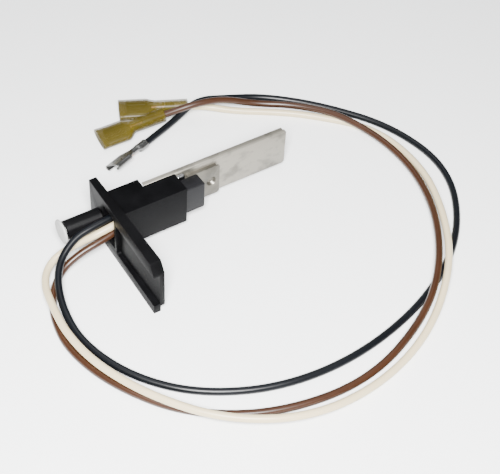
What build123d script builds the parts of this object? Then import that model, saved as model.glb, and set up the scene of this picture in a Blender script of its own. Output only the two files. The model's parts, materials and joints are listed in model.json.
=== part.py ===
"""Air-vane switch probe: a moulded flange and sleeve, a snap switch, a swinging paddle and three leads.

Frame: millimetres, +X along the probe towards the paddle's tip, +Z up, the part lying on a table.
The origin is the centre of the sleeve's root, on the flange's seating face (X = 0).
"""
import os
from math import pi, radians, tan

from build123d import *

os.makedirs("parts", exist_ok=True)

# ---------------------------------------------------------------- driving dimensions
# Flange (a plate standing across the probe, thicker towards its long end)
flange_height = 22.0
flange_short_end = 11.4  # from the origin to the +Y end
flange_long_end = 35.3  # from the origin to the -Y end
flange_thick_short = 2.8
flange_thick_long = 4.1
flange_foot_step = 2.6  # the seating layer starts this far above the flange's lower edge
flange_seat_layer = 1.6  # thickness of that seating layer
corner_cut_y = 2.4
corner_cut_z = 3.7
recess_floor = 1.8  # plastic left behind the recess
rim_lower = 3.6
rim_upper = 4.8
recess_corner = 1.0
rib_width = 1.2
mouth_top = 8.0
mouth_bottom = -6.3
mouth_side = 1.0  # the mouth's +Y side
rib_side = -7.0  # the mouth's -Y side, where the rib stands
nub_size = 1.3
nub_depth = 0.5

# Sleeve behind the flange
sleeve_half_width = 6.3
sleeve_half_height = 7.8
sleeve_step_length = 13.1  # length of the wide stretch
sleeve_narrow_side = 2.4  # +Y side of the narrow stretch
sleeve_length = 25.5
ear_thickness = 1.4
ear_reach = 3.4  # how far the hinge ears pass the sleeve's end

# Snap switch
switch_length = 20.0
switch_thick = 5.5
switch_height = 11.2
switch_top = 0.4  # Y of the face that the button stands out of
switch_proud = 8.1  # how far the switch passes the sleeve's end
switch_fit = 0.05  # gap between the switch and the sleeve all round
switch_wall = 0.9
switch_end_wall = 0.8
cover_thick = 0.9
corner_soft = 0.5  # rounding of the switch's outer edges

# Switch works
button_from_hinge = 3.5
button_diameter = 1.4
button_clearance = 0.05
button_gap = 0.1  # between the button and the lever at rest
button_collar = 2.0
button_collar_thick = 0.4
blade_y = -2.2
blade_thick = 0.15
blade_width = 2.6
blade_pivot_from_end = 3.8  # measured from the switch's inner end
contact_from_end = 11.4
contact_diameter = 1.6
contact_thick = 0.5
contact_gap = 0.03
contact_travel = 0.2
terminal_thick = 0.4
terminal_width = 2.0
terminal_spacing = 3.3
terminal_tail = 3.0  # length outside the switch

# Hinge, lever and paddle
hinge_past_sleeve = 2.4
hinge_y = 1.85
hinge_pin_diameter = 0.7
hinge_clearance = 0.03
lever_sheet = 0.4
lever_reach = 15.5  # from the hinge to the lever's end
lever_top = 5.0
lever_bottom = -8.2
lever_flange_offset = 2.3  # from the hinge to the tall stretch of the lever
knuckle_gap = 0.15
keeper_length = 3.0
keeper_width = 1.5
keeper_thick = 0.35
dimple_from_hinge = 12.1
dimple_z = -1.6
dimple_mouth = 4.8
dimple_floor = 3.4
paddle_face = 2.6  # Y of the paddle's near face
paddle_sheet = 0.4
paddle_past_step = 0.7  # gap between the sleeve's step and the paddle
paddle_length = 59.2
paddle_top = 7.4
paddle_bottom = -8.9
paddle_flange = 2.0
paddle_bend = 0.7
paddle_relief = 1.5

# Test pin on the outer side
pin_z = -0.3
pin_wall = 0.45  # plastic outside the clip's bore
pin_diameter = 2.4
pin_clearance = 0.04
pin_tip_x = 12.2
pin_tip_cone = 1.2
pin_head_diameter = 8.8
pin_head_thick = 0.8
pin_travel = 0.8
guide_diameter = 6.6
guide_end = -16.2
spring_chamber_end = -5.0
spring_wire = 0.35
spring_clearance = 0.15  # between the pin and the spring's wire
spring_room = 0.3  # between the spring and its chamber
spring_turns = 9
clip_bore_start = 6.0
clip_ring = 0.3  # the clip's width outside the pin
clip_room = 0.15  # between the clip and its bore
clip_thick = 0.5

# Leads and receptacles
lead_diameter = 2.6
strand_diameter = 1.5
strand_bared = 3.4  # bared length between each tail and its terminal
tail_straight = 1.0  # straight run at each end of a tail
strand_free = 4.0  # bared length in each receptacle's crimp
tab_width = 6.3
tab_thick = 0.8
receptacle_sheet = 0.4
receptacle_body_length = 7.9
receptacle_body_height = 2.4
neck_length = 2.4
neck_width = 2.4
crimp_strip_width = 1.6
conductor_crimp_length = 3.3
insulation_crimp_length = 3.4
# Turn of each receptacle about its own axis; at 0 its base strip is underneath.
receptacle_turns = {"black": 215.0, "white": 0.0, "brown": 0.0}
boot_rear = 9.0  # how far the boot reaches back over the lead
boot_mouth = 17.5  # from the insulation's end to the boot's mouth
boot_barrel_diameter = 5.4
boot_width = 11.2
boot_height = 4.9
boot_wall = 0.7
boot_shoulder_start = 3.4
boot_shoulder_end = 6.4
boot_taper = 0.5

# ---------------------------------------------------------------- worked-out places
table_z = -flange_height / 2
lead_radius = lead_diameter / 2
on_table = table_z + lead_radius
switch_start = sleeve_length + switch_proud - switch_length
switch_end = switch_start + switch_length
switch_bottom = switch_top - switch_thick
half_switch = switch_height / 2
cavity_top = switch_top + switch_fit
cavity_bottom = switch_bottom - switch_fit
cavity_half = half_switch + switch_fit
hinge_x = sleeve_length + hinge_past_sleeve
lever_end = hinge_x + lever_reach
lever_flange_start = hinge_x + lever_flange_offset
dimple_x = hinge_x + dimple_from_hinge
blade_pivot_x = switch_start + blade_pivot_from_end
contact_x = switch_start + contact_from_end
paddle_start = sleeve_step_length + paddle_past_step
paddle_end = paddle_start + paddle_length
button_x = hinge_x + button_from_hinge
hinge_radius = hinge_pin_diameter / 2
knuckle_bore = hinge_radius + hinge_clearance
knuckle_radius = knuckle_bore + lever_sheet - hinge_clearance
lever_face = hinge_y - knuckle_radius
ear_inner = half_switch - 0.7
ear_outer = ear_inner + ear_thickness
pin_radius = pin_diameter / 2
head_inner = guide_end - pin_travel - 0.1
clip_diameter = pin_diameter + 2 * clip_ring
clip_bore_diameter = clip_diameter + 2 * clip_room
spring_diameter = pin_diameter + 2 * (spring_wire + spring_clearance)
spring_chamber_diameter = spring_diameter + 2 * spring_room
pin_y = sleeve_half_width - pin_wall - clip_bore_diameter / 2


def log_volume(label, part, expected):
    """Print a tube's volume beside its section times its length."""
    print(f"{label}: volume {part.volume:.1f}, section times length {expected:.1f}")


# ---------------------------------------------------------------- flange, sleeve and pin guide
with BuildPart() as flange_housing:
    with BuildSketch(Plane.XY.offset(table_z)):
        with BuildLine():
            Polyline(
                (0, flange_short_end),
                (-flange_thick_short, flange_short_end),
                (-flange_thick_long, -flange_long_end),
                (0, -flange_long_end),
                close=True,
            )
        make_face()
    extrude(amount=flange_height)
    # The seating layer stops short of the lower edge.
    with BuildSketch(Plane.XY.offset(table_z)):
        with Locations((-flange_seat_layer / 2, (flange_short_end - flange_long_end) / 2)):
            Rectangle(flange_seat_layer, flange_short_end + flange_long_end + 2)
    extrude(amount=flange_foot_step, mode=Mode.SUBTRACT)
    # The upper corner of the long end is cut off.
    with BuildSketch(Plane.YZ):
        with BuildLine():
            Polyline(
                (-flange_long_end, flange_height / 2),
                (-flange_long_end + corner_cut_y, flange_height / 2),
                (-flange_long_end, flange_height / 2 - corner_cut_z),
                close=True,
            )
        make_face()
    extrude(amount=flange_thick_long + 1, both=True, mode=Mode.SUBTRACT)
    # Sleeve: a wide stretch beside the pin, then a narrow one.
    with BuildSketch(Plane.XY.offset(-sleeve_half_height)):
        with BuildLine():
            Polyline(
                (-flange_seat_layer, -sleeve_half_width),
                (-flange_seat_layer, sleeve_half_width),
                (sleeve_step_length, sleeve_half_width),
                (sleeve_step_length, sleeve_narrow_side),
                (sleeve_length, sleeve_narrow_side),
                (sleeve_length, -sleeve_half_width),
                close=True,
            )
        make_face()
    extrude(amount=2 * sleeve_half_height)
    # Hinge ears stand past the sleeve's end, above and below the lever's knuckle.
    for ear_z in (ear_inner, -ear_outer):
        with BuildSketch(Plane.XY.offset(ear_z)):
            with BuildLine():
                Polyline(
                    (sleeve_length - 1, hinge_y - 0.85),
                    (sleeve_length + ear_reach, hinge_y - 0.85),
                    (sleeve_length + ear_reach, hinge_y + 0.45),
                    (sleeve_length - 1, hinge_y + 0.45),
                    close=True,
                )
            make_face()
        extrude(amount=ear_thickness)
    # Long recess in the flange's outer face, open at the long end.
    recess_length = flange_long_end + rib_side - rib_width
    recess_middle = (flange_height / 2 - rim_upper + table_z + rim_lower) / 2
    with BuildSketch(Plane.YZ.offset(-recess_floor)):
        with Locations((rib_side - rib_width - recess_length / 2 - 1, recess_middle)):
            RectangleRounded(recess_length + 2, flange_height - rim_lower - rim_upper, recess_corner)
        with Locations((-flange_long_end, recess_middle)):
            Rectangle(4, flange_height - rim_lower - rim_upper)
    extrude(amount=-flange_thick_long, mode=Mode.SUBTRACT)
    # Mouth for the leads, then the cavity that the switch lies in.
    with BuildSketch(Plane.YZ.offset(-flange_seat_layer)):
        with Locations(((mouth_side + rib_side) / 2, (mouth_top + mouth_bottom) / 2)):
            Rectangle(mouth_side - rib_side, mouth_top - mouth_bottom)
    extrude(amount=-flange_thick_long, mode=Mode.SUBTRACT)
    with BuildSketch(Plane.YZ.offset(-flange_thick_long)):
        with Locations(((cavity_top + cavity_bottom) / 2, 0)):
            Rectangle(cavity_top - cavity_bottom, 2 * cavity_half)
    extrude(amount=flange_thick_long + sleeve_length, mode=Mode.SUBTRACT)
    # Guide tube of the test pin, with its spring chamber and bores.
    pin_plane = Plane(origin=(0, pin_y, pin_z), x_dir=(0, 1, 0), z_dir=(1, 0, 0))
    with BuildSketch(pin_plane.offset(guide_end)):
        Circle(guide_diameter / 2)
    extrude(amount=-guide_end - flange_seat_layer)
    with BuildSketch(pin_plane.offset(guide_end)):
        Circle(pin_radius + pin_clearance)
    extrude(amount=sleeve_step_length - guide_end, mode=Mode.SUBTRACT)
    with BuildSketch(pin_plane.offset(guide_end)):
        Circle(spring_chamber_diameter / 2)
    extrude(amount=spring_chamber_end - guide_end, mode=Mode.SUBTRACT)
    with BuildSketch(pin_plane.offset(clip_bore_start)):
        Circle(clip_bore_diameter / 2)
    extrude(amount=sleeve_step_length - clip_bore_start, mode=Mode.SUBTRACT)
    # Hinge pin's holes through both ears.
    with BuildSketch(Plane.XY.offset(-ear_outer)):
        with Locations((hinge_x, hinge_y)):
            Circle(hinge_radius)
    extrude(amount=2 * ear_outer, mode=Mode.SUBTRACT)
    # Locating nub on the short end.
    with BuildSketch(Plane.XZ.offset(-flange_short_end)):
        with Locations((-flange_thick_short / 2, -2.0)):
            Rectangle(nub_size, nub_size)
    extrude(amount=-nub_depth)
flange_housing.part.label = "flange_housing"
export_step(flange_housing.part, "parts/flange_housing.step")

# ---------------------------------------------------------------- test pin, its clip and its spring
with BuildPart() as test_pin:
    with BuildSketch(pin_plane.offset(head_inner - pin_head_thick)):
        Circle(pin_head_diameter / 2)
    extrude(amount=pin_head_thick)
    with BuildSketch(pin_plane.offset(head_inner)):
        Circle(pin_radius)
    extrude(amount=pin_tip_x - head_inner)
    tip_edge = test_pin.edges().filter_by(GeomType.CIRCLE).sort_by(Axis.X)[-1]
    chamfer(tip_edge, pin_tip_cone, pin_radius * 0.6)
test_pin.part.label = "test_pin"
export_step(test_pin.part, "parts/test_pin.step")

with BuildPart() as pin_clip:
    with BuildSketch(pin_plane.offset(clip_bore_start + 0.05)):
        Circle(clip_diameter / 2)
        Circle(pin_radius, mode=Mode.SUBTRACT)
    extrude(amount=clip_thick)
pin_clip.part.label = "pin_clip"
export_step(pin_clip.part, "parts/pin_clip.step")

spring_space = spring_chamber_end - head_inner
spring_pitch = (spring_space - 2 * spring_wire) / spring_turns
with BuildPart() as pin_spring:
    with BuildLine() as spring_path:
        Helix(
            pitch=spring_pitch,
            height=spring_pitch * spring_turns,
            radius=(spring_diameter - spring_wire) / 2,
            center=(head_inner + spring_wire, pin_y, pin_z),
            direction=(1, 0, 0),
        )
    wire_start = spring_path.line @ 0
    wire_way = spring_path.line % 0
    with BuildSketch(Plane(origin=wire_start, z_dir=wire_way)):
        Circle(spring_wire / 2)
    sweep(path=spring_path.line, is_frenet=True)
pin_spring.part.label = "pin_spring"
export_step(pin_spring.part, "parts/pin_spring.step")

# ---------------------------------------------------------------- snap switch
cover_inner = switch_bottom + cover_thick
works_top = switch_top - switch_wall
tail_start = switch_start - terminal_tail
with BuildPart() as switch_case:
    with BuildSketch(Plane.XZ.offset(-switch_top)):
        with Locations(((switch_start + switch_end) / 2, 0)):
            Rectangle(switch_length, switch_height)
    extrude(amount=switch_top - cover_inner)
    chamfer(switch_case.edges().filter_by(Axis.Z).group_by(Axis.Y)[-1], corner_soft)
    fillet(switch_case.edges().filter_by(Axis.Y), corner_soft)
    with BuildSketch(Plane.XZ.offset(-works_top)):
        with Locations(((switch_start + switch_end) / 2, 0)):
            Rectangle(switch_length - 2 * switch_end_wall, switch_height - 2 * switch_wall)
    extrude(amount=works_top - cover_inner, mode=Mode.SUBTRACT)
    with BuildSketch(Plane.XZ.offset(-switch_top)):
        with Locations((button_x, 0)):
            Circle(button_diameter / 2 + button_clearance)
    extrude(amount=switch_wall, mode=Mode.SUBTRACT)
# The three terminals leave through the wall at the switch's inner end.
nc_strip_y = blade_y + contact_thick + contact_gap + 0.47
common_strip_y = blade_y - blade_thick / 2 - terminal_thick
no_strip_y = blade_y - contact_thick - contact_travel - contact_gap - 0.47 - terminal_thick
terminal_rows = ((terminal_spacing, nc_strip_y), (0, common_strip_y), (-terminal_spacing, no_strip_y))
with BuildPart(mode=Mode.PRIVATE) as terminal_slots:
    for row_z, strip_y in terminal_rows:
        with BuildSketch(Plane.YZ.offset(switch_start)):
            with Locations((strip_y + terminal_thick / 2, row_z)):
                Rectangle(terminal_thick, terminal_width)
        extrude(amount=switch_end_wall)
switch_case_part = switch_case.part - terminal_slots.part
switch_case_part.label = "switch_case"
export_step(switch_case_part, "parts/switch_case.step")

with BuildPart() as switch_cover:
    with BuildSketch(Plane.XZ.offset(-cover_inner)):
        with Locations(((switch_start + switch_end) / 2, 0)):
            RectangleRounded(switch_length, switch_height, corner_soft)
    extrude(amount=cover_thick)
    chamfer(switch_cover.edges().group_by(Axis.Y)[0], corner_soft * 0.6)
switch_cover.part.label = "switch_cover"
export_step(switch_cover.part, "parts/switch_cover.step")

button_top = lever_face - button_gap
button_foot = blade_y + blade_thick / 2 + contact_gap
with BuildPart() as switch_button:
    with BuildSketch(Plane.XZ.offset(-button_top)):
        with Locations((button_x, 0)):
            Circle(button_diameter / 2)
    extrude(amount=button_top - button_foot)
    chamfer(switch_button.edges().group_by(Axis.Y)[-1], 0.2)
    with BuildSketch(Plane.XZ.offset(-(works_top - button_clearance))):
        with Locations((button_x, 0)):
            Circle(button_collar / 2)
    extrude(amount=button_collar_thick)
switch_button.part.label = "switch_button"
export_step(switch_button.part, "parts/switch_button.step")


def strip(x_start, x_stop, z_middle, z_width, y_low, y_thick):
    """A flat strip lying in an X-Z plane."""
    with BuildPart() as flat:
        with BuildSketch(Plane.XZ.offset(-(y_low + y_thick))):
            with Locations(((x_start + x_stop) / 2, z_middle)):
                Rectangle(x_stop - x_start, z_width)
        extrude(amount=y_thick)
    return flat.part


contact_radius = contact_diameter / 2
arm_half = 1.0
arm_reach = terminal_spacing + terminal_width / 2 + arm_half
arm_middle = arm_reach / 2 - arm_half
arm_start = contact_x - arm_half
arm_stop = contact_x + arm_half
with BuildPart() as closed_terminal:
    add(strip(tail_start, arm_stop, terminal_spacing, terminal_width, nc_strip_y, terminal_thick))
    add(strip(arm_start, arm_stop, arm_middle, arm_reach, nc_strip_y, terminal_thick))
closed_terminal.part.label = "closed_terminal"
export_step(closed_terminal.part, "parts/closed_terminal.step")

with BuildPart() as open_terminal:
    add(strip(tail_start, arm_stop, -terminal_spacing, terminal_width, no_strip_y, terminal_thick))
    add(strip(arm_start, arm_stop, -arm_middle, arm_reach, no_strip_y, terminal_thick))
open_terminal.part.label = "open_terminal"
export_step(open_terminal.part, "parts/open_terminal.step")

with BuildPart() as common_terminal:
    add(strip(tail_start, blade_pivot_x, 0, terminal_width, common_strip_y, terminal_thick))
common_terminal.part.label = "common_terminal"
export_step(common_terminal.part, "parts/common_terminal.step")

with BuildPart() as contact_blade:
    blade_start = blade_pivot_x - 1.6
    blade_stop = button_x + 0.8
    add(strip(blade_start, blade_stop, 0, blade_width, blade_y - blade_thick / 2, blade_thick))
    # A cut-out leaves the spring tongue that makes the blade snap.
    with BuildSketch(Plane.XZ.offset(-(blade_y + blade_thick / 2))):
        with Locations((contact_x - 3.4, 0)):
            Rectangle(3.6, blade_width * 0.4)
    extrude(amount=blade_thick, mode=Mode.SUBTRACT)
contact_blade.part.label = "contact_blade"
export_step(contact_blade.part, "parts/contact_blade.step")

with BuildPart() as moving_contacts:
    for face_y in (blade_y + contact_thick, blade_y - blade_thick / 2):
        with BuildSketch(Plane.XZ.offset(-face_y)):
            with Locations((contact_x, 0)):
                Circle(contact_radius)
        extrude(amount=contact_thick - blade_thick / 2)
moving_contacts.part.label = "moving_contacts"
export_step(moving_contacts.part, "parts/moving_contacts.step")

with BuildPart() as fixed_contacts:
    upper_face = blade_y + contact_thick + contact_gap
    lower_face = blade_y - contact_thick - contact_travel - contact_gap
    with BuildSketch(Plane.XZ.offset(-nc_strip_y)):
        with Locations((contact_x, 0)):
            Circle(contact_radius)
    extrude(amount=nc_strip_y - upper_face)
    with BuildSketch(Plane.XZ.offset(-lower_face)):
        with Locations((contact_x, 0)):
            Circle(contact_radius)
    extrude(amount=lower_face - no_strip_y - terminal_thick)
fixed_contacts.part.label = "fixed_contacts"
export_step(fixed_contacts.part, "parts/fixed_contacts.step")

# ---------------------------------------------------------------- hinge pin, lever and paddle
with BuildPart() as hinge_pin:
    with BuildSketch(Plane.XY.offset(-ear_outer)):
        with Locations((hinge_x, hinge_y)):
            Circle(hinge_radius)
    extrude(amount=2 * ear_outer)
hinge_pin.part.label = "hinge_pin"
export_step(hinge_pin.part, "parts/hinge_pin.step")

with BuildPart() as pin_keeper:
    with BuildSketch(Plane.XY.offset(ear_outer)):
        with Locations((sleeve_length + ear_reach - keeper_length / 2, hinge_y - 0.2)):
            SlotOverall(keeper_length, keeper_width)
    extrude(amount=keeper_thick)
    fillet(pin_keeper.edges().group_by(Axis.Z)[-1], keeper_thick * 0.6)
pin_keeper.part.label = "pin_keeper"
export_step(pin_keeper.part, "parts/pin_keeper.step")

knuckle_half = ear_inner - knuckle_gap
with BuildPart() as lever_plate:
    # Rolled knuckle round the hinge pin.
    with BuildSketch(Plane.XY.offset(-knuckle_half)):
        with Locations((hinge_x, hinge_y)):
            Circle(knuckle_radius)
    extrude(amount=2 * knuckle_half)
    # Blade of the lever, in front of the paddle; it drops lower past the ears.
    add(strip(hinge_x, lever_end, 0, 2 * knuckle_half, lever_face, lever_sheet))
    outer_height = lever_top - lever_bottom
    outer_middle = (lever_top + lever_bottom) / 2
    add(strip(lever_flange_start, lever_end, outer_middle, outer_height, lever_face, lever_sheet))
    tall_edges = lever_plate.edges().filter_by(Axis.Y).group_by(Axis.X)[-1]
    fillet(tall_edges, 1.0)
    # Stiffening flange along the top, folded back to the paddle.
    with BuildSketch(Plane.XY.offset(lever_top - lever_sheet)):
        with BuildLine():
            Polyline(
                (lever_flange_start, lever_face),
                (lever_end - 1.2, lever_face),
                (lever_end - 1.2, paddle_face),
                (lever_flange_start, paddle_face),
                close=True,
            )
        make_face()
    extrude(amount=lever_sheet)
    # Pressed dimple that reaches the paddle, where the two are spot welded.
    dimple_plane = Plane(origin=(dimple_x, lever_face, dimple_z), x_dir=(1, 0, 0), z_dir=(0, 1, 0))
    with BuildSketch(dimple_plane.offset(lever_sheet / 2)):
        Circle(dimple_mouth / 2 - 0.2)
    with BuildSketch(dimple_plane.offset(paddle_face - lever_face)):
        Circle(dimple_floor / 2)
    loft()
    with BuildSketch(dimple_plane):
        Circle(dimple_mouth / 2 - 0.4)
    with BuildSketch(dimple_plane.offset(paddle_face - lever_face - lever_sheet)):
        Circle(dimple_floor / 2 - lever_sheet)
    loft(mode=Mode.SUBTRACT)
    with BuildSketch(Plane.XY.offset(-knuckle_half)):
        with Locations((hinge_x, hinge_y)):
            Circle(knuckle_bore)
    extrude(amount=2 * knuckle_half, mode=Mode.SUBTRACT)
lever_plate.part.label = "lever_plate"
export_step(lever_plate.part, "parts/lever_plate.step")

with BuildPart() as paddle:
    paddle_back = paddle_face + paddle_flange
    paddle_height = paddle_top - paddle_bottom
    paddle_middle_x = (paddle_start + paddle_end) / 2
    paddle_middle_z = (paddle_top + paddle_bottom) / 2
    # A tray: the block is hollowed from its far side and the open end is cut away.
    add(strip(paddle_start, paddle_end, paddle_middle_z, paddle_height, paddle_face, paddle_flange))
    fillet(paddle.edges().group_by(Axis.Y)[0].sort_by(Axis.X)[1:], paddle_bend)
    inner_x = (paddle_start + paddle_end - paddle_sheet) / 2
    with BuildSketch(Plane.XZ.offset(-paddle_back)):
        with Locations((inner_x - 1, paddle_middle_z)):
            Rectangle(paddle_length - paddle_sheet + 2, paddle_height - 2 * paddle_sheet)
    extrude(amount=paddle_flange - paddle_sheet, mode=Mode.SUBTRACT)
    # Relief cuts where the end flange meets the long ones.
    for corner_z in (paddle_top, paddle_bottom):
        with BuildSketch(Plane.XZ.offset(-paddle_back)):
            with Locations((paddle_end, corner_z)):
                Rectangle(2 * paddle_relief, 2 * paddle_relief)
        extrude(amount=paddle_flange - paddle_sheet, mode=Mode.SUBTRACT)
        with BuildSketch(Plane.XZ.offset(-paddle_face - paddle_sheet)):
            with Locations((paddle_end, corner_z)):
                Rectangle(paddle_relief * 1.5, paddle_relief * 1.5, rotation=45)
        extrude(amount=paddle_sheet, mode=Mode.SUBTRACT)
paddle.part.label = "paddle"
export_step(paddle.part, "parts/paddle.step")

# ---------------------------------------------------------------- lead routes, points chosen by hand
black_route = [
    (-1, -1.0, 2.9),
    (-7.5, -1.5, 2.5),
    (-16, -1.7, 0.9),
    (-24.8, -6.5, -3.6),
    (-30, -19, -6.8),
    (-31, -36, -8.8),
    (-23, -56, on_table),
    (-7.5, -72.5, on_table),
    (17, -83.5, on_table),
    (47, -85, on_table),
    (80, -76.5, on_table),
    (107.5, -59, on_table),
    (125.5, -31, on_table),
    (121.5, -1, on_table),
    (105, 23, on_table),
    (88, 39, on_table),
    (73, 43.8, -7.7),
    (60, 45.2, -4.3),
    (49, 43.1, -8.8),
    (37.4, 38.4, -8.2),
    (29.4, 35.3, -8.1),
]
white_route = [
    (-1, -3.5, 1.5),
    (-7, -3.6, 0.6),
    (-12.5, -1.4, -2.6),
    (-18.4, 0.7, -5.7),
    (-25.2, -0.5, -8.0),
    (-30.7, -8.0, -7.6),
    (-33, -20, -6.4),
    (-34, -33, -6.6),
    (-31, -49, -6.8),
    (-22, -68, -6.7),
    (-7.5, -86, -6.7),
    (15, -98.5, -6.9),
    (43, -98, on_table),
    (70, -89, on_table),
    (93, -71, -6.5),
    (107, -49, -6.4),
    (115.5, -26, -7.4),
    (115, 2, on_table),
    (96.5, 21.5, on_table),
    (85, 30, on_table),
    (72.5, 37.6, -9.6),
    (61.5, 46.0, -8.15),
    (49.5, 51.4, -8.0),
]
brown_route = [
    (-1, -3.7, -1.5),
    (-7.5, -4.7, -2.4),
    (-15, -4.4, -4.3),
    (-22.8, -5.4, -7.4),
    (-29.5, -11.5, on_table),
    (-34, -22, on_table),
    (-35.5, -36, on_table),
    (-30, -55, on_table),
    (-16, -76, on_table),
    (8, -90.5, on_table),
    (40, -95, on_table),
    (70, -85, -7.4),
    (91, -68, -6.5),
    (108, -42, -7.6),
    (114, -14, -8.4),
    (106, 12, -6.5),
    (94.5, 27.5, -8.2),
    (82, 36.2, -8.8),
    (70, 40.2, -4.4),
    (59, 41.6, -2.8),
    (48, 44.3, -5.0),
    (36.4, 45.5, -6.1),
]


def corner_radii(points):
    """Each corner's radius: 0.45 of the shorter run over the tangent of half the turn."""
    spots = [Vector(*point) for point in points]
    radii = []
    for before, here, after in zip(spots, spots[1:], spots[2:]):
        first = here - before
        second = after - here
        half_turn = radians(first.get_angle(second)) / 2
        radii.append(0.45 * min(first.length, second.length) / tan(half_turn))
    return radii


# ---------------------------------------------------------------- leads
lead_routes = {"black": black_route, "white": white_route, "brown": brown_route}
for colour, route in lead_routes.items():
    radii = corner_radii(route)
    print(f"{colour} lead radii:", [round(radius, 1) for radius in radii])
    with BuildPart() as lead:
        with BuildLine() as lead_path:
            FilletPolyline(*route, radius=radii)
        lead_wire = lead_path.wire()
        with BuildSketch(Plane(origin=route[0], z_dir=lead_wire % 0)):
            Circle(lead_radius)
        sweep(path=lead_wire)
    lead.part.label = f"{colour}_lead"
    export_step(lead.part, f"parts/{colour}_lead.step")
    log_volume(lead.part.label, lead.part, pi * lead_radius**2 * lead_wire.length)
    print(f"{colour} lead length {lead_wire.length:.1f}")

# Tails: the insulated ends between the exits and the switch's terminals, all along the sleeve.
strand_radius = strand_diameter / 2
solder_radius = 1.05
solder_length = 2.2
tail_rows = {
    "black": (black_route[0], terminal_rows[0]),
    "white": (white_route[0], terminal_rows[1]),
    "brown": (brown_route[0], terminal_rows[2]),
}
strand_parts = []
solder_parts = []
for colour, (exit_point, (row_z, strip_y)) in tail_rows.items():
    pad_y = strip_y - strand_radius if colour != "brown" else strip_y + terminal_thick + strand_radius
    seat = Vector(tail_start - strand_bared, pad_y, row_z)
    inward = (Vector(*exit_point) - Vector(*lead_routes[colour][1])).normalized()
    tail_points = (
        exit_point,
        tuple(Vector(*exit_point) + inward * tail_straight),
        tuple(seat - Vector(tail_straight, 0, 0)),
        tuple(seat),
    )
    with BuildPart() as tail:
        with BuildLine() as tail_path:
            FilletPolyline(*tail_points, radius=corner_radii(tail_points))
        with BuildSketch(Plane(origin=exit_point, z_dir=inward)):
            Circle(lead_radius)
        sweep(path=tail_path.wire())
    tail.part.label = f"{colour}_tail"
    export_step(tail.part, f"parts/{colour}_tail.step")
    strand_plane = Plane(origin=(seat.X, pad_y, row_z), x_dir=(0, 1, 0), z_dir=(1, 0, 0))
    with BuildPart() as strand:
        with BuildSketch(strand_plane.offset(0.35)):
            Circle(strand_radius)
        extrude(amount=tail_start + 1.4 - seat.X)
    strand_parts.append(strand.part)
    with BuildPart() as solder:
        with BuildSketch(strand_plane.offset(tail_start - 0.2 - seat.X)):
            Circle(solder_radius)
        extrude(amount=solder_length)
        with BuildSketch(strand_plane.offset(0)):
            Circle(strand_radius)
        extrude(amount=tail_start + 1.75 - seat.X, mode=Mode.SUBTRACT)
        pad_low = strip_y
        strip_box = Box(
            terminal_tail + 2,
            terminal_thick,
            terminal_width,
            align=(Align.MIN, Align.MIN, Align.CENTER),
            mode=Mode.PRIVATE,
        )
        add(Pos(tail_start, pad_low, row_z) * strip_box, mode=Mode.SUBTRACT)
    solder_parts.append(solder.part.solids().sort_by(SortBy.VOLUME)[-1])

# ---------------------------------------------------------------- receptacles on the leads
body_start = neck_length + 1.0 + conductor_crimp_length
body_stop = body_start + receptacle_body_length
base_z = -lead_radius - receptacle_sheet - 0.05
crimp_radius = strand_radius + receptacle_sheet
wrap_radius = lead_radius + receptacle_sheet


def lead_end_plane(route, turn):
    """Plane at a lead's end: X runs on towards the mouth, Z is up before the turn about X in degrees."""
    onward = Vector(*route[-1]) - Vector(*route[-2])
    sideways = Vector(0, 0, 1).cross(onward)
    upward = onward.cross(sideways).rotate(Axis((0, 0, 0), onward), turn)
    return Plane(origin=route[-1], x_dir=onward, z_dir=upward)


def cross_plane(frame, distance):
    """Plane square to a receptacle's axis, this far towards its mouth; its X axis is across."""
    return Plane(origin=frame.from_local_coords((distance, 0, 0)), x_dir=frame.y_dir, z_dir=frame.x_dir)


def build_receptacle(frame):
    """A push-on receptacle for a flat tab, with rolled sides and two crimps."""
    body_middle = base_z + receptacle_body_height / 2
    outer_width = tab_width + 3 * receptacle_sheet
    with BuildPart() as receptacle:
        # Base strip under both crimps, wider through the neck.
        with BuildSketch(cross_plane(frame, -insulation_crimp_length - 0.4)):
            with Locations((0, base_z + receptacle_sheet / 2)):
                Rectangle(crimp_strip_width, receptacle_sheet)
        extrude(amount=conductor_crimp_length + insulation_crimp_length + 1.4)
        with BuildSketch(cross_plane(frame, conductor_crimp_length + 1.0)):
            with Locations((0, base_z + receptacle_sheet / 2)):
                Rectangle(neck_width, receptacle_sheet)
        extrude(amount=neck_length + 0.4)
        # Body with rolled sides, its slot for the tab and the gap between the rolls.
        with BuildSketch(cross_plane(frame, body_start)):
            with Locations((0, body_middle)):
                RectangleRounded(outer_width, receptacle_body_height, receptacle_body_height * 0.4)
            with Locations((0, base_z + receptacle_sheet + tab_thick / 2 + 0.05)):
                Rectangle(tab_width + 0.2, tab_thick + 0.1, mode=Mode.SUBTRACT)
            with Locations((0, body_middle + receptacle_body_height / 2)):
                Rectangle(neck_width * 0.8, receptacle_body_height, mode=Mode.SUBTRACT)
        extrude(amount=receptacle_body_length)
        # Conductor crimp and insulation crimp.
        with BuildSketch(cross_plane(frame, 1.0)):
            Circle(crimp_radius)
            with Locations((0, base_z / 2)):
                Rectangle(crimp_strip_width, -base_z)
            Circle(strand_radius, mode=Mode.SUBTRACT)
        extrude(amount=conductor_crimp_length)
        with BuildSketch(cross_plane(frame, -insulation_crimp_length - 0.4)):
            Circle(wrap_radius)
            Circle(lead_radius, mode=Mode.SUBTRACT)
        extrude(amount=insulation_crimp_length)
    return receptacle.part


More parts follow.
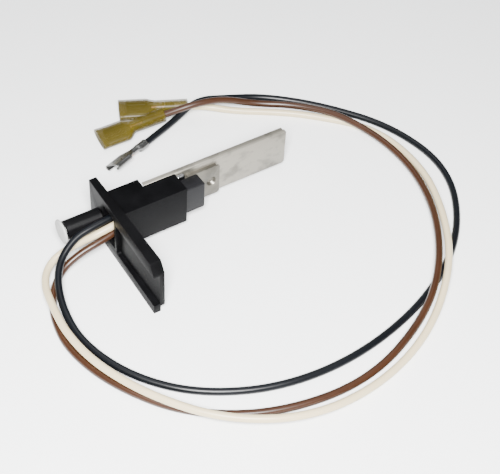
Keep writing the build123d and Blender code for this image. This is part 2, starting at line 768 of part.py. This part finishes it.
def build_boot(frame):
    """A soft sleeve over a receptacle: a round barrel that widens to a flat mouth."""
    mouth_drop = base_z + receptacle_body_height / 2
    mouth_x = boot_width / 2
    mouth_y = boot_height / 2
    with BuildPart() as boot:
        with BuildSketch(cross_plane(frame, -boot_rear)):
            Circle(boot_barrel_diameter / 2)
        extrude(amount=boot_rear + boot_shoulder_start)
        with BuildSketch(cross_plane(frame, boot_shoulder_start)):
            Circle(boot_barrel_diameter / 2)
        with BuildSketch(cross_plane(frame, boot_shoulder_end)):
            with Locations((0, mouth_drop)):
                Ellipse(mouth_x - boot_taper, mouth_y)
        loft()
        with BuildSketch(cross_plane(frame, boot_shoulder_end)):
            with Locations((0, mouth_drop)):
                Ellipse(mouth_x - boot_taper, mouth_y)
        with BuildSketch(cross_plane(frame, boot_mouth)):
            with Locations((0, mouth_drop)):
                Ellipse(mouth_x, mouth_y)
        loft()
        with BuildSketch(cross_plane(frame, -boot_rear)):
            Circle(boot_barrel_diameter / 2 - boot_wall)
        extrude(amount=boot_rear + boot_shoulder_start, mode=Mode.SUBTRACT)
        with BuildSketch(cross_plane(frame, boot_shoulder_start)):
            Circle(boot_barrel_diameter / 2 - boot_wall)
        with BuildSketch(cross_plane(frame, boot_shoulder_end)):
            with Locations((0, mouth_drop)):
                Ellipse(mouth_x - boot_taper - boot_wall, mouth_y - boot_wall)
        loft(mode=Mode.SUBTRACT)
        with BuildSketch(cross_plane(frame, boot_shoulder_end)):
            with Locations((0, mouth_drop)):
                Ellipse(mouth_x - boot_taper - boot_wall, mouth_y - boot_wall)
        with BuildSketch(cross_plane(frame, boot_mouth)):
            with Locations((0, mouth_drop)):
                Ellipse(mouth_x - boot_wall, mouth_y - boot_wall)
        loft(mode=Mode.SUBTRACT)
    return boot.part


for colour, route in lead_routes.items():
    frame = lead_end_plane(route, receptacle_turns[colour])
    receptacle_part = build_receptacle(frame)
    receptacle_part.label = f"{colour}_receptacle"
    export_step(receptacle_part, f"parts/{colour}_receptacle.step")
    if colour != "black":
        boot_part = build_boot(frame)
        boot_part.label = f"{colour}_boot"
        export_step(boot_part, f"parts/{colour}_boot.step")
    with BuildPart() as crimped_strand:
        with BuildSketch(cross_plane(frame, 0)):
            Circle(strand_radius)
        extrude(amount=strand_free + 0.9)
    crimped_strand.part.label = f"{colour}_strands"
    export_step(crimped_strand.part, f"parts/{colour}_strands.step")

inner_strands = Compound(label="inner_strands", children=strand_parts)
export_step(inner_strands, "parts/inner_strands.step")
solder_joints = Compound(label="solder_joints", children=solder_parts)
export_step(solder_joints, "parts/solder_joints.step")
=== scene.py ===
"""Looks of an air-vane switch probe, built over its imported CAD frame. Everything is in metres."""
import json
import math

import bpy
import numpy as np
from mathutils import Matrix, Vector


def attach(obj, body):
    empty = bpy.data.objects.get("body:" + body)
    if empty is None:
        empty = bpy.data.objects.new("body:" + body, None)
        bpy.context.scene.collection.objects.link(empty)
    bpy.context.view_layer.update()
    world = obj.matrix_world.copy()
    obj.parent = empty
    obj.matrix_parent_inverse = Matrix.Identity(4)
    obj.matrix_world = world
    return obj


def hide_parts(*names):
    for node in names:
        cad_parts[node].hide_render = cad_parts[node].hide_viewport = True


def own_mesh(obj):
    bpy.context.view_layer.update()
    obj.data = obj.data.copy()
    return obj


bl_info = {
    "name": "Vane switch probe",
    "version": (1, 0, 0),
    "blender": (4, 5, 0),
    "location": "View3D > Sidebar > Probe",
    "description": "Builds the looks of a vane switch probe with three leads",
    "category": "Object",
}

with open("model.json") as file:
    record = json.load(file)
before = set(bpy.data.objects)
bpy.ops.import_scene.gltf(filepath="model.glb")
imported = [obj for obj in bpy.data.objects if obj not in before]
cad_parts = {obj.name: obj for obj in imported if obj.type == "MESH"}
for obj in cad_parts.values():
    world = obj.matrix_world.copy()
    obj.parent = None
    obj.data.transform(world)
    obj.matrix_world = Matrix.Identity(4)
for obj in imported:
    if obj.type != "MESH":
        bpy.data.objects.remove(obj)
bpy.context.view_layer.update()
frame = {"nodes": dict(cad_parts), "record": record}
MM = 0.001
TABLE = -0.011

# Camera: its place, the ways that its picture's right side and top point, and its lens.
CAMERA_PLACE = (-0.12702, -0.26017, 0.2946)
CAMERA_RIGHT = (0.8407, -0.5396, 0.0447)
CAMERA_UP = (0.3647, 0.6253, 0.6899)
CAMERA_LENS = 86.4
SENSOR_WIDTH = 36

# Test pin's axis in mm.
PIN_Y, PIN_Z = 4.2, -0.3

# Height of a receptacle's base strip below the lead's axis in mm, and its sheet in metres.
RECEPTACLE_BASE = -1.55
RECEPTACLE_SHEET = 0.00036

# Boot, in mm: its ends along the lead, where its shoulder lies, its half sizes and the mouth's drop.
BOOT_REAR, BOOT_MOUTH = -9.0, 17.5
BOOT_SHOULDER, BOOT_SHOULDER_LENGTH = 3.0, 4.2
BOOT_BARREL = 2.7
BOOT_HALF_WIDTH, BOOT_HALF_HEIGHT = 5.45, 2.4
BOOT_DROP = -0.55

# Lead routes, in metres, from the sleeve's mouth to the receptacle; listed point by point.
ROUTES = {
    "black": (
        (-0.001, -0.001, 0.0029), (-0.0075, -0.0015, 0.0025), (-0.016, -0.0017, 0.0009),
        (-0.0248, -0.0065, -0.0036), (-0.030, -0.019, -0.0068), (-0.031, -0.036, -0.0088),
        (-0.023, -0.056, -0.0097), (-0.0075, -0.0725, -0.0097), (0.017, -0.0835, -0.0097),
        (0.047, -0.085, -0.0097), (0.080, -0.0765, -0.0097), (0.1075, -0.059, -0.0097),
        (0.1255, -0.031, -0.0097), (0.1215, -0.001, -0.0097), (0.105, 0.023, -0.0097),
        (0.088, 0.039, -0.0097), (0.073, 0.0438, -0.0077), (0.060, 0.0452, -0.0043),
        (0.049, 0.0431, -0.0088), (0.0374, 0.0384, -0.0082), (0.0294, 0.0353, -0.0081),
    ),
    "white": (
        (-0.001, -0.0035, 0.0015), (-0.007, -0.0036, 0.0006), (-0.0125, -0.0014, -0.0026),
        (-0.0184, 0.0007, -0.0057), (-0.0252, -0.0005, -0.008), (-0.0307, -0.008, -0.0076),
        (-0.033, -0.020, -0.0064), (-0.034, -0.033, -0.0066), (-0.031, -0.049, -0.0068),
        (-0.022, -0.068, -0.0067), (-0.0075, -0.086, -0.0067), (0.015, -0.0985, -0.0069),
        (0.043, -0.098, -0.0097), (0.070, -0.089, -0.0097), (0.093, -0.071, -0.0065),
        (0.107, -0.049, -0.0064), (0.1155, -0.026, -0.0074), (0.115, 0.002, -0.0097),
        (0.0965, 0.0215, -0.0097), (0.085, 0.030, -0.0097), (0.0725, 0.0376, -0.0096),
        (0.0615, 0.046, -0.00815), (0.0495, 0.0514, -0.0080),
    ),
    "brown": (
        (-0.001, -0.0037, -0.0015), (-0.0075, -0.0047, -0.0024), (-0.015, -0.0044, -0.0043),
        (-0.0228, -0.0054, -0.0074), (-0.0295, -0.0115, -0.0097), (-0.034, -0.022, -0.0097),
        (-0.0355, -0.036, -0.0097), (-0.030, -0.055, -0.0097), (-0.016, -0.076, -0.0097),
        (0.008, -0.0905, -0.0097), (0.040, -0.095, -0.0097), (0.070, -0.085, -0.0074),
        (0.091, -0.068, -0.0065), (0.108, -0.042, -0.0076), (0.114, -0.014, -0.0084),
        (0.106, 0.012, -0.0065), (0.0945, 0.0275, -0.0082), (0.082, 0.0362, -0.0088),
        (0.070, 0.0402, -0.0044), (0.059, 0.0416, -0.0028), (0.048, 0.0443, -0.0050),
        (0.0364, 0.0455, -0.0061),
    ),
}
# Turn of each receptacle about its own axis, in degrees; at 0 its base strip is underneath.
RECEPTACLE_TURNS = {"black": 215.0, "white": 0.0, "brown": 0.0}

# Receptacle, along its axis in mm: place, half flat, side roll's radius, roll's turn in degrees.
RECEPTACLE_STATIONS = (
    (-3.8, 0.10, 1.50, 176), (-0.6, 0.10, 1.50, 176), (0.3, 0.30, 1.20, 130), (1.0, 0.15, 1.02, 165),
    (1.4, 0.10, 0.98, 180), (3.9, 0.10, 0.98, 180), (4.6, 0.60, 0.90, 110), (5.6, 1.20, 0.90, 95),
    (6.5, 2.00, 0.90, 130), (7.1, 2.60, 0.92, 236), (14.0, 2.60, 0.92, 236), (14.6, 2.68, 0.96, 222),
)


class ProbeSizes(bpy.types.PropertyGroup):
    """Sizes of the pieces that are shaped here."""
    lead_diameter: bpy.props.FloatProperty(
        name="Lead diameter", description="Outer diameter of each lead's insulation",
        default=0.0026, unit="LENGTH")
    moulded_edge: bpy.props.FloatProperty(
        name="Moulded edge", description="Rounding of the moulding's edges", default=0.00035, unit="LENGTH")
    sheet_edge: bpy.props.FloatProperty(
        name="Sheet edge", description="Rounding of the stamped metal's edges",
        default=0.00008, unit="LENGTH")
    boot_wall: bpy.props.FloatProperty(
        name="Boot wall", description="Wall of the soft boots", default=0.0007, unit="LENGTH")


class ProbeColours(bpy.types.PropertyGroup):
    """Colours of the probe's finishes."""
    housing: bpy.props.FloatVectorProperty(
        name="Housing", description="Moulded flange and sleeve", subtype="COLOR",
        default=(0.0014, 0.0014, 0.0016), min=0, max=1)
    black_lead: bpy.props.FloatVectorProperty(
        name="Black lead", description="Insulation of the black lead", subtype="COLOR",
        default=(0.002, 0.0025, 0.0035), min=0, max=1)
    white_lead: bpy.props.FloatVectorProperty(
        name="White lead", description="Insulation of the white lead", subtype="COLOR",
        default=(0.54, 0.45, 0.28), min=0, max=1)
    brown_lead: bpy.props.FloatVectorProperty(
        name="Brown lead", description="Insulation of the brown lead", subtype="COLOR",
        default=(0.024, 0.0085, 0.003), min=0, max=1)
    paddle: bpy.props.FloatVectorProperty(
        name="Paddle", description="Rolled sheet of the paddle", subtype="COLOR",
        default=(0.24, 0.225, 0.19), min=0, max=1)
    boot: bpy.props.FloatVectorProperty(
        name="Boot", description="Soft vinyl of the boots", subtype="COLOR",
        default=(0.085, 0.062, 0.005), min=0, max=1)
    table: bpy.props.FloatVectorProperty(
        name="Table", description="Pale table top", subtype="COLOR",
        default=(0.93, 0.94, 0.94), min=0, max=1)


# ---------------------------------------------------------------- shader groups and materials
def grain_group():
    """Group: noise at two sizes, giving a mask that changes slowly and a fine height."""
    tree = bpy.data.node_groups.get("Fine grain")
    if tree:
        return tree
    tree = bpy.data.node_groups.new("Fine grain", "ShaderNodeTree")
    tree.interface.new_socket("Vector", in_out="INPUT", socket_type="NodeSocketVector")
    for name, value in (("Broad scale", 90.0), ("Fine scale", 1600.0)):
        socket = tree.interface.new_socket(name, in_out="INPUT", socket_type="NodeSocketFloat")
        socket.default_value = value
    tree.interface.new_socket("Mask", in_out="OUTPUT", socket_type="NodeSocketFloat")
    tree.interface.new_socket("Height", in_out="OUTPUT", socket_type="NodeSocketFloat")
    inner = tree.nodes.new("NodeGroupInput")
    outer = tree.nodes.new("NodeGroupOutput")
    for label, socket_in, socket_out in (("broad", "Broad scale", "Mask"), ("fine", "Fine scale", "Height")):
        noise = tree.nodes.new("ShaderNodeTexNoise")
        noise.label = label
        noise.inputs["Detail"].default_value = 4
        tree.links.new(inner.outputs["Vector"], noise.inputs["Vector"])
        tree.links.new(inner.outputs[socket_in], noise.inputs["Scale"])
        tree.links.new(noise.outputs["Fac"], outer.inputs[socket_out])
    return tree


def finish(name, colour, second, rough, bump, metal=0.0, scales=(90, 1600), stretch=(1, 1, 1), **more):
    """Material: two tones mixed by the grain's mask, with its roughness varied and its height bumped."""
    made = bpy.data.materials.get(name)
    if made:
        return made
    made = bpy.data.materials.new(name)
    made.use_nodes = True
    nodes, links = made.node_tree.nodes, made.node_tree.links
    shader = nodes["Principled BSDF"]
    place = nodes.new("ShaderNodeTexCoord")
    mapping = nodes.new("ShaderNodeMapping")
    mapping.inputs["Scale"].default_value = stretch
    grain = nodes.new("ShaderNodeGroup")
    grain.node_tree = grain_group()
    grain.inputs["Broad scale"].default_value = scales[0]
    grain.inputs["Fine scale"].default_value = scales[1]
    tones = nodes.new("ShaderNodeValToRGB")
    tones.color_ramp.elements[0].position = more.pop("low", 0.35)
    tones.color_ramp.elements[1].position = more.pop("high", 0.65)
    tones.color_ramp.elements[0].color = (*colour, 1)
    tones.color_ramp.elements[1].color = (*second, 1)
    spread = nodes.new("ShaderNodeMapRange")
    spread.inputs["To Min"].default_value = rough[0]
    spread.inputs["To Max"].default_value = rough[1]
    height = nodes.new("ShaderNodeBump")
    height.inputs["Strength"].default_value = bump
    height.inputs["Distance"].default_value = 0.0001
    links.new(place.outputs["Object"], mapping.inputs["Vector"])
    links.new(mapping.outputs["Vector"], grain.inputs["Vector"])
    links.new(grain.outputs["Mask"], tones.inputs["Fac"])
    links.new(grain.outputs["Mask"], spread.inputs["Value"])
    links.new(grain.outputs["Height"], height.inputs["Height"])
    links.new(tones.outputs["Color"], shader.inputs["Base Color"])
    links.new(spread.outputs["Result"], shader.inputs["Roughness"])
    links.new(height.outputs["Normal"], shader.inputs["Normal"])
    shader.inputs["Metallic"].default_value = metal
    for socket, value in more.items():
        shader.inputs[socket.replace("_", " ")].default_value = value
    return made


def tint(colour, factor):
    """The colour times a factor, kept in range."""
    return tuple(min(1.0, channel * factor) for channel in colour)


def wear(piece, material):
    """Give the piece this one material."""
    piece.data.materials.clear()
    piece.data.materials.append(material)


# ---------------------------------------------------------------- shapes
def new_object(name, mesh):
    """Put a mesh in the scene at the origin."""
    piece = bpy.data.objects.new(name, mesh)
    bpy.context.scene.collection.objects.link(piece)
    return piece


def grid_mesh(name, points, wrap_rows=False, wrap_columns=False, cap=False):
    """Quads over a grid of points (rows, columns, 3); a capped grid gets a flat fan at both end rows."""
    rows, columns = points.shape[:2]
    corners = points.reshape(-1, 3)
    row = np.arange(rows if wrap_rows else rows - 1)[:, None]
    column = np.arange(columns if wrap_columns else columns - 1)[None, :]
    after_row = (row + 1) % rows
    after_column = (column + 1) % columns
    quads = np.stack([
        row * columns + column, row * columns + after_column,
        after_row * columns + after_column, after_row * columns + column], axis=-1).reshape(-1, 4)
    faces = quads.tolist()
    if cap:
        faces.append(list(range(columns))[::-1])
        faces.append([(rows - 1) * columns + k for k in range(columns)])
    mesh = bpy.data.meshes.new(name)
    mesh.from_pydata(corners.tolist(), [], faces)
    mesh.validate()
    # A closed surface encloses a positive volume when its faces point outwards.
    a, b, c, d = (corners[quads[:, k]] for k in range(4))
    volume = np.sum(a * np.cross(b, c)) + np.sum(a * np.cross(c, d))
    if volume < 0:
        mesh.flip_normals()
    mesh.polygons.foreach_set("use_smooth", np.ones(len(mesh.polygons), dtype=bool))
    mesh.update()
    return mesh


def lead_end(colour):
    """Origin and axes at a lead's end: along the receptacle, across it, and up."""
    last, before = np.array(ROUTES[colour][-1]), np.array(ROUTES[colour][-2])
    along = (last - before) / np.linalg.norm(last - before)
    across = np.cross((0, 0, 1), along)
    across /= np.linalg.norm(across)
    up = np.cross(along, across)
    turn = math.radians(RECEPTACLE_TURNS[colour])
    turned = math.cos(turn) * across + math.sin(turn) * up
    return last, along, turned, np.cross(along, turned)


def placed(frame_axes, x, y, z):
    """Points of a local grid, in mm, brought into the row's frame, in metres."""
    origin, along, across, up = frame_axes
    return origin + MM * (x[..., None] * along + y[..., None] * across + z[..., None] * up)


def stamped_surface(name, frame_axes):
    """Stamped receptacle: each section is a flat base, then on each side a roll of its own radius and turn.

    Along the half section of length flat + radius * turn, the point at arc length s is on the flat while
    s < flat; after that it turns about the roll's centre by (s - flat) / radius.
    """
    rows = np.array(RECEPTACLE_STATIONS, float)
    x = np.linspace(rows[0, 0], rows[-1, 0], 110)
    flat = np.interp(x, rows[:, 0], rows[:, 1])[:, None]
    radius = np.interp(x, rows[:, 0], rows[:, 2])[:, None]
    turn = np.radians(np.interp(x, rows[:, 0], rows[:, 3]))[:, None]
    share = np.linspace(-1, 1, 61)[None, :]
    s = np.abs(share) * (flat + radius * turn)
    angle = np.maximum(0, s - flat) / radius
    y = np.sign(share) * (np.minimum(s, flat) + radius * np.sin(angle))
    z = RECEPTACLE_BASE + radius * (1 - np.cos(angle))
    grid = placed(frame_axes, np.broadcast_to(x[:, None], y.shape), y, z)
    piece = new_object(name, grid_mesh(name, grid))
    wall = piece.modifiers.new("Sheet", "SOLIDIFY")
    wall.thickness = RECEPTACLE_SHEET
    wall.offset = 0
    return piece


def boot_surface(name, frame_axes, wall):
    """Soft boot: outer wall from rear to mouth, then inner wall back, each section an ellipse.

    The half width, half height and drop go from the barrel's to the mouth's by a smooth step.
    """
    rings = 70
    x_out = np.linspace(BOOT_REAR, BOOT_MOUTH, rings)
    x = np.concatenate([x_out, x_out[::-1]])
    inside = np.concatenate([np.zeros(rings), np.full(rings, wall / MM)])
    step = np.clip((x - BOOT_SHOULDER) / BOOT_SHOULDER_LENGTH, 0, 1)
    step = step * step * (3 - 2 * step)
    lip = 0.15 * np.exp(-((x - 17.0) / 0.8) ** 2)
    half_width = BOOT_BARREL + (BOOT_HALF_WIDTH - BOOT_BARREL) * step - inside + lip
    half_height = BOOT_BARREL + (BOOT_HALF_HEIGHT - BOOT_BARREL) * step - inside + lip * 0.3
    drop = BOOT_DROP * step
    angle = np.linspace(0, 2 * np.pi, 48, endpoint=False)[None, :]
    y = half_width[:, None] * np.cos(angle)
    z = half_height[:, None] * np.sin(angle) + drop[:, None]
    grid = placed(frame_axes, np.broadcast_to(x[:, None], y.shape), y, z)
    return new_object(name, grid_mesh(name, grid, wrap_rows=True, wrap_columns=True))


def turned_surface(name, x, radius, centre_y, centre_z):
    """Turned piece about an X axis: a point at place x and radius r goes round as (x, r cos, r sin)."""
    angle = np.linspace(0, 2 * np.pi, 72, endpoint=False)[None, :]
    y = centre_y + radius[:, None] * np.cos(angle)
    z = centre_z + radius[:, None] * np.sin(angle)
    grid = MM * np.stack([np.broadcast_to(x[:, None], y.shape), y, z], axis=-1)
    return new_object(name, grid_mesh(name, grid, wrap_columns=True, cap=True))


def softened(name, node, width, segments=2):
    """A merged copy of a CAD node with its sharp edges rounded."""
    mesh = frame["nodes"][node].data.copy()
    piece = new_object(name, mesh)
    merge = piece.modifiers.new("Merge", "WELD")
    merge.merge_threshold = 1e-7
    edges = piece.modifiers.new("Edges", "BEVEL")
    edges.width = width
    edges.segments = segments
    edges.limit_method = "ANGLE"
    edges.angle_limit = math.radians(35)
    edges.harden_normals = True
    mesh.polygons.foreach_set("use_smooth", np.ones(len(mesh.polygons), dtype=bool))
    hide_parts(node)
    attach(piece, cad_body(node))
    return piece


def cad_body(node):
    """Body that the record puts this node on."""
    bodies = frame["record"]["behaviour"]["bodies"]
    return next(body for body, members in bodies.items() if node in members)


def metal(colours, kind):
    """Metal finishes of the probe."""
    if kind == "paddle":
        return finish("Stained sheet", colours.paddle, tint(colours.paddle, 0.58), (0.3, 0.5), 0.15, 0.7,
                      scales=(230, 1500), stretch=(0.7, 1, 1), low=0.5, high=0.68)
    if kind == "lever":
        return finish("Dull sheet", tint(colours.paddle, 0.55), tint(colours.paddle, 0.35),
                      (0.3, 0.48), 0.15, 0.8,
                      scales=(220, 1500), low=0.4, high=0.7)
    if kind == "blackened":
        return finish("Blackened wire", (0.04, 0.04, 0.045), (0.08, 0.08, 0.08), (0.3, 0.5), 0.1, 0.9)
    if kind == "tinned":
        return finish("Tinned brass", (0.27, 0.27, 0.27), (0.15, 0.15, 0.145), (0.16, 0.36), 0.15, 0.95)
    # Painted shade: the same tinned brass as the bare receptacle, its colour darkened to stand for the light
    # that the tinted boots take away.
    if kind == "tarnished":
        return finish("Tarnished tin", (0.012, 0.018, 0.009), (0.04, 0.05, 0.03), (0.25, 0.45), 0.15, 0.35)
    if kind == "contact":
        return finish("Contact metal", (0.78, 0.72, 0.58), (0.66, 0.60, 0.46), (0.2, 0.35), 0.05, 1.0)
    if kind == "bright":
        return finish("Bright steel", (0.78, 0.78, 0.78), (0.62, 0.62, 0.62), (0.12, 0.28), 0.04, 1.0)
    if kind == "solder":
        return finish("Dull solder", (0.60, 0.60, 0.60), (0.46, 0.46, 0.46), (0.3, 0.45), 0.2, 1.0)
    return finish("Copper strands", (0.62, 0.32, 0.18), (0.42, 0.20, 0.10), (0.3, 0.45), 0.5, 1.0,
                  stretch=(0.2, 1, 1))


def insulation(colours, colour):
    """Lead insulation: smooth extruded vinyl, a little dusty."""
    base = getattr(colours, f"{colour}_lead")
    return finish(f"{colour.title()} insulation", base, tint(base, 1.25 if colour != "white" else 0.93),
                  (0.26, 0.42), 0.06, scales=(70, 900), Specular_IOR_Level=0.25 if colour == "black" else 0.4)


# ---------------------------------------------------------------- operators
class PROBE_OT_leads(bpy.types.Operator):
    """Lay the three leads along their routes"""
    bl_idname = "probe.leads"
    bl_label = "Leads"

    def execute(self, context):
        sizes, colours = context.scene.probe_sizes, context.scene.probe_colours
        for colour, route in ROUTES.items():
            curve = bpy.data.curves.new(f"{colour}_cable", "CURVE")
            curve.dimensions = "3D"
            spline = curve.splines.new("NURBS")
            spline.points.add(len(route) - 1)
            for point, place in zip(spline.points, route):
                point.co = (*place, 1)
            spline.order_u = 3
            spline.use_endpoint_u = True
            spline.resolution_u = 10
            curve.bevel_depth = sizes.lead_diameter / 2
            curve.bevel_resolution = 6
            curve.use_fill_caps = True
            piece = new_object(f"{colour}_cable", curve)
            wear(piece, insulation(colours, colour))
            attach(piece, "housing")
            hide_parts(f"{colour}_lead")
            wear(frame["nodes"][f"{colour}_tail"], insulation(colours, colour))
        return {"FINISHED"}


class PROBE_OT_receptacles(bpy.types.Operator):
    """Stamp the push-on receptacles and draw their boots over them"""
    bl_idname = "probe.receptacles"
    bl_label = "Receptacles and boots"

    def execute(self, context):
        sizes, colours = context.scene.probe_sizes, context.scene.probe_colours
        vinyl = finish("Soft vinyl", colours.boot, tint(colours.boot, 0.75), (0.22, 0.4), 0.08,
                       Alpha=0.5, Specular_IOR_Level=0.2)
        for colour in ROUTES:
            axes = lead_end(colour)
            piece = stamped_surface(f"{colour}_push_on", axes)
            # The booted receptacles wear the tin with painted shade for the boots' dimming; the bare black
            # one wears plain tinned brass.
            wear(piece, metal(colours, "tinned" if colour == "black" else "tarnished"))
            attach(piece, "housing")
            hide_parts(f"{colour}_receptacle")
            wear(frame["nodes"][f"{colour}_strands"], metal(colours, "copper"))
            if colour != "black":
                boot = boot_surface(f"{colour}_sleeve", axes, sizes.boot_wall)
                wear(boot, vinyl)
                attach(boot, "housing")
                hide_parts(f"{colour}_boot")
        return {"FINISHED"}


class PROBE_OT_housing(bpy.types.Operator):
    """Mould the flange, the sleeve and the pin's guide"""
    bl_idname = "probe.housing"
    bl_label = "Housing"

    def execute(self, context):
        sizes, colours = context.scene.probe_sizes, context.scene.probe_colours
        piece = softened("moulded_flange", "flange_housing", sizes.moulded_edge, 3)
        wear(piece, finish("Moulded black", colours.housing, tint(colours.housing, 2.0), (0.34, 0.56), 0.3,
                           scales=(120, 1800), Specular_IOR_Level=0.05))
        return {"FINISHED"}


class PROBE_OT_switch(bpy.types.Operator):
    """Finish the snap switch and its works"""
    bl_idname = "probe.switch"
    bl_label = "Snap switch"

    def execute(self, context):
        colours = context.scene.probe_colours
        shell = finish("Switch case", (0.0035, 0.0035, 0.004), (0.008, 0.008, 0.009), (0.35, 0.55), 0.25,
                       Specular_IOR_Level=0.15)
        for node in ("switch_case", "switch_cover"):
            piece = softened(f"{node}_shell", node, 0.00015)
            wear(piece, shell)
        nodes = frame["nodes"]
        wear(nodes["switch_button"], finish("Button", (0.7, 0.69, 0.65), (0.6, 0.59, 0.55), (0.3, 0.5), 0.1))
        for node in ("closed_terminal", "open_terminal", "common_terminal"):
            wear(nodes[node], metal(colours, "tinned"))
        for node in ("contact_blade", "moving_contacts", "fixed_contacts"):
            wear(nodes[node], metal(colours, "contact"))
        wear(nodes["inner_strands"], metal(colours, "copper"))
        wear(nodes["solder_joints"], metal(colours, "solder"))
        return {"FINISHED"}


class PROBE_OT_vane(bpy.types.Operator):
    """Finish the paddle, the lever and their hinge"""
    bl_idname = "probe.vane"
    bl_label = "Vane"

    def execute(self, context):
        sizes, colours = context.scene.probe_sizes, context.scene.probe_colours
        for node in ("paddle", "lever_plate"):
            piece = softened(f"{node}_sheet", node, sizes.sheet_edge)
            wear(piece, metal(colours, "paddle" if node == "paddle" else "lever"))
        for node in ("hinge_pin", "pin_keeper"):
            wear(frame["nodes"][node], metal(colours, "bright"))
        return {"FINISHED"}


class PROBE_OT_test_pin(bpy.types.Operator):
    """Turn the test pin and finish its spring and clip"""
    bl_idname = "probe.test_pin"
    bl_label = "Test pin"

    def execute(self, context):
        # Profile: a shallow dished head with rounded rims, then the shaft and its cone tip.
        x = np.array([-17.85, -17.9, -17.9, -17.82, -17.6, -17.3, -17.16, -17.1, -17.1, 11.0, 12.2])
        radius = np.array([0.05, 0.6, 4.05, 4.32, 4.4, 4.4, 4.3, 4.1, 1.2, 1.2, 0.48])
        piece = turned_surface("test_pin_turned", x, radius, PIN_Y, PIN_Z)
        wear(piece, finish("Grey pin", (0.42, 0.42, 0.41), (0.34, 0.34, 0.33), (0.5, 0.7), 0.3))
        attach(piece, "pin")
        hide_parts("test_pin")
        rims = piece.modifiers.new("Rims", "BEVEL")
        rims.width = 0.0001
        rims.limit_method = "ANGLE"
        # The coil is a copy of the CAD spring, set on the housing.
        coil = new_object("pin_spring_coil", frame["nodes"]["pin_spring"].data.copy())
        wear(coil, metal(context.scene.probe_colours, "blackened"))
        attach(coil, "housing")
        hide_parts("pin_spring")
        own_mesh(coil)
        wear(frame["nodes"]["pin_clip"], metal(context.scene.probe_colours, "bright"))
        return {"FINISHED"}


class PROBE_OT_stage(bpy.types.Operator):
    """Set the table, the lights and the camera"""
    bl_idname = "probe.stage"
    bl_label = "Stage"

    def execute(self, context):
        colours = context.scene.probe_colours
        half = 1.5
        corners = [(-half, -half, TABLE), (half, -half, TABLE), (half, half, TABLE), (-half, half, TABLE)]
        mesh = bpy.data.meshes.new("table")
        mesh.from_pydata(corners, [], [(0, 1, 2, 3)])
        table = new_object("table", mesh)
        wear(table, finish("Table top", colours.table, tint(colours.table, 0.98), (0.5, 0.6), 0.02,
                           scales=(8, 300)))
        world = bpy.data.worlds.new("Soft room")
        world.use_nodes = True
        world.node_tree.nodes["Background"].inputs["Color"].default_value = (0.95, 0.97, 1.0, 1)
        world.node_tree.nodes["Background"].inputs["Strength"].default_value = 0.24
        context.scene.world = world
        for name, place, size, power in (
            ("Key", (-0.14, -0.28, 0.36), 0.16, 14.0),
            ("Fill", (0.10, 0.30, 0.75), 0.5, 2.0),
        ):
            lamp = bpy.data.lights.new(name, "AREA")
            lamp.size = size
            lamp.energy = power
            holder = bpy.data.objects.new(name, lamp)
            holder.location = place
            aim = Vector((0.03, -0.02, 0)) - Vector(place)
            holder.rotation_euler = aim.to_track_quat("-Z", "Y").to_euler()
            context.scene.collection.objects.link(holder)
        camera = bpy.data.cameras.new("Camera")
        camera.sensor_width = SENSOR_WIDTH
        camera.lens = CAMERA_LENS
        camera.clip_start = 0.01
        holder = bpy.data.objects.new("Camera", camera)
        right, up = Vector(CAMERA_RIGHT), Vector(CAMERA_UP)
        right.normalize()
        up = (up - right * up.dot(right)).normalized()
        back = right.cross(up)
        turn = Matrix((right, up, back)).transposed().to_4x4()
        holder.matrix_world = Matrix.Translation(CAMERA_PLACE) @ turn
        context.scene.collection.objects.link(holder)
        context.scene.camera = holder
        return {"FINISHED"}


class PROBE_PT_pieces(bpy.types.Panel):
    """Pieces and settings of the probe"""
    bl_idname = "PROBE_PT_pieces"
    bl_label = "Vane switch probe"
    bl_space_type = "VIEW_3D"
    bl_region_type = "UI"
    bl_category = "Probe"

    def draw(self, context):
        for settings in (context.scene.probe_sizes, context.scene.probe_colours):
            for key in settings.bl_rna.properties.keys():
                if key not in ("rna_type", "name"):
                    self.layout.prop(settings, key)
        for operator in OPERATORS:
            self.layout.operator(operator.bl_idname)


OPERATORS = (
    PROBE_OT_stage, PROBE_OT_receptacles, PROBE_OT_leads, PROBE_OT_housing,
    PROBE_OT_switch, PROBE_OT_vane, PROBE_OT_test_pin,
)
CLASSES = (ProbeSizes, ProbeColours, *OPERATORS, PROBE_PT_pieces)


def register():
    """Register the classes and their settings."""
    for item in CLASSES:
        bpy.utils.register_class(item)
    bpy.types.Scene.probe_sizes = bpy.props.PointerProperty(type=ProbeSizes)
    bpy.types.Scene.probe_colours = bpy.props.PointerProperty(type=ProbeColours)


def unregister():
    """Take the settings and classes away again."""
    del bpy.types.Scene.probe_colours
    del bpy.types.Scene.probe_sizes
    for item in reversed(CLASSES):
        bpy.utils.unregister_class(item)


def main():
    """Build every piece in order."""
    register()
    bpy.ops.probe.stage()
    bpy.ops.probe.receptacles()
    bpy.ops.probe.leads()
    bpy.ops.probe.housing()
    bpy.ops.probe.switch()
    bpy.ops.probe.vane()
    bpy.ops.probe.test_pin()


if __name__ == "__main__":
    main()
